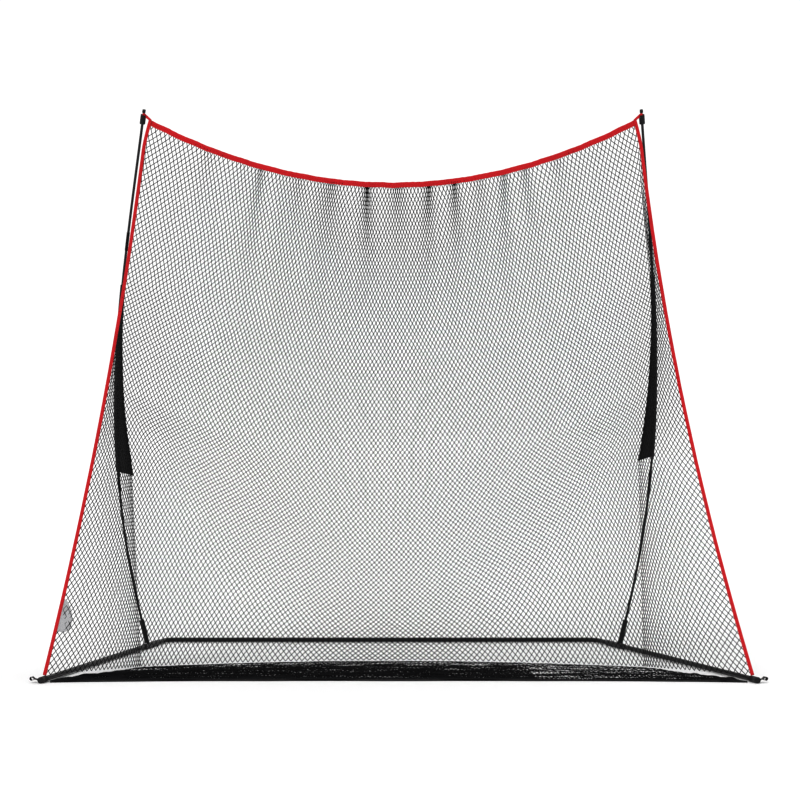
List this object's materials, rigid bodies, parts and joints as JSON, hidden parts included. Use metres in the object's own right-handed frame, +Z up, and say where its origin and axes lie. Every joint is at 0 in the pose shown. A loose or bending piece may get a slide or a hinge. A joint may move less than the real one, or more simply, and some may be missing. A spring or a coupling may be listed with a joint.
{
  "type": "golf practice net",
  "caption": "Golf practice net: a U-shaped tube base with two bowed rods in leaning sockets, which hold an open-fronted bag of black diamond netting edged in red.",
  "frame": {"origin": "middle of the base on the floor: the centre of the bounding box's underside", "axes": "+X to the right along the front opening, +Y from the open front towards the rear bar, +Z up"},
  "size_m": [3.1478, 1.455, 2.5085],
  "materials": {
    "black_tube": "satin black powder coat",
    "black_plastic": "moulded, fine grain",
    "rod_black": "pultruded fibreglass rod, semi-gloss",
    "ferrule_black": "black anodised tube",
    "spring_steel": "zinc plated",
    "elastic": "braided elastic",
    "net_twine": "knotless black polyester twine",
    "red_webbing": "woven red binding",
    "black_cloth": "plain weave nylon",
    "black_webbing": "woven black webbing",
    "label_grey": "satin woven blank label"
  },
  "bodies": {
    "frame_and_net": {"rear_tube_left": "black_tube", "rear_tube_right": "black_tube", "bend_tube_left": "black_tube", "bend_tube_right": "black_tube", "corner_fitting_left": "black_tube", "corner_fitting_right": "black_tube", "arm_tube_rear_left": "black_tube", "arm_tube_rear_right": "black_tube", "arm_tube_front_left": "black_tube", "arm_tube_front_right": "black_tube", "end_cap_left": "black_plastic", "end_cap_right": "black_plastic", "snap_clip_rear_middle": "spring_steel", "snap_clip_rear_left": "spring_steel", "snap_clip_rear_right": "spring_steel", "snap_clip_sleeve_left": "spring_steel", "snap_clip_sleeve_right": "spring_steel", "snap_clip_arm_left": "spring_steel", "snap_clip_arm_right": "spring_steel", "rod_foot_left": "black_plastic", "rod_foot_right": "black_plastic", "rod_1_left": "rod_black", "rod_2_left": "rod_black", "rod_3_left": "rod_black", "rod_4_left": "rod_black", "rod_1_right": "rod_black", "rod_2_right": "rod_black", "rod_3_right": "rod_black", "rod_4_right": "rod_black", "ferrules_left": "ferrule_black", "ferrules_right": "ferrule_black", "shock_cord_left": "elastic", "shock_cord_right": "elastic", "rod_tip_left": "black_plastic", "rod_tip_right": "black_plastic", "corner_loop_left": "red_webbing", "corner_loop_right": "red_webbing", "top_band": "red_webbing", "side_band_left": "red_webbing", "side_band_right": "red_webbing", "rod_sleeve_left": "black_cloth", "rod_sleeve_right": "black_cloth", "net_curtain": "net_twine", "net_wing_left": "net_twine", "net_wing_right": "net_twine", "net_floor": "net_twine", "blank_label": "label_grey"},
    "button_rear_middle": {"snap_button_rear_middle": "spring_steel"},
    "button_rear_left": {"snap_button_rear_left": "spring_steel"},
    "button_rear_right": {"snap_button_rear_right": "spring_steel"},
    "button_sleeve_left": {"snap_button_sleeve_left": "spring_steel"},
    "button_sleeve_right": {"snap_button_sleeve_right": "spring_steel"},
    "button_arm_left": {"snap_button_arm_left": "spring_steel"},
    "button_arm_right": {"snap_button_arm_right": "spring_steel"},
    "stake_loop_right": {"stake_loop_right": "black_webbing"},
    "stake_loop_left": {"stake_loop_left": "black_webbing"}
  },
  "joints": [
    {"name": "press_rear_middle", "type": "slide", "parent": "frame_and_net", "child": "button_rear_middle", "axis": [0, 0, -1], "range_m": [0, 0.0046], "stiffness_N_per_m": 2500, "springref_m": -0.001, "deforming": ["snap_clip_rear_middle"]},
    {"name": "press_rear_left", "type": "slide", "parent": "frame_and_net", "child": "button_rear_left", "axis": [0, 0, -1], "range_m": [0, 0.0046], "stiffness_N_per_m": 2500, "springref_m": -0.001, "deforming": ["snap_clip_rear_left"]},
    {"name": "press_rear_right", "type": "slide", "parent": "frame_and_net", "child": "button_rear_right", "axis": [0, 0, -1], "range_m": [0, 0.0046], "stiffness_N_per_m": 2500, "springref_m": -0.001, "deforming": ["snap_clip_rear_right"]},
    {"name": "press_sleeve_left", "type": "slide", "parent": "frame_and_net", "child": "button_sleeve_left", "axis": [0, 0, -1], "range_m": [0, 0.0054], "stiffness_N_per_m": 2500, "springref_m": -0.001, "deforming": ["snap_clip_sleeve_left"]},
    {"name": "press_sleeve_right", "type": "slide", "parent": "frame_and_net", "child": "button_sleeve_right", "axis": [0, 0, -1], "range_m": [0, 0.0054], "stiffness_N_per_m": 2500, "springref_m": -0.001, "deforming": ["snap_clip_sleeve_right"]},
    {"name": "press_arm_left", "type": "slide", "parent": "frame_and_net", "child": "button_arm_left", "axis": [0, 0, -1], "range_m": [0, 0.0046], "stiffness_N_per_m": 2500, "springref_m": -0.001, "deforming": ["snap_clip_arm_left"]},
    {"name": "press_arm_right", "type": "slide", "parent": "frame_and_net", "child": "button_arm_right", "axis": [0, 0, -1], "range_m": [0, 0.0046], "stiffness_N_per_m": 2500, "springref_m": -0.001, "deforming": ["snap_clip_arm_right"]},
    {"name": "swing_stake_loop_right", "type": "hinge", "parent": "frame_and_net", "child": "stake_loop_right", "pos_m": [1.52031, -0.70868, 0.0135], "axis": [0.3026, -0.9531, 0], "range_deg": [0, 100]},
    {"name": "swing_stake_loop_left", "type": "hinge", "parent": "frame_and_net", "child": "stake_loop_left", "pos_m": [-1.52031, -0.70868, 0.0135], "axis": [0.3026, 0.9531, 0], "range_deg": [0, 100]}
  ]
}
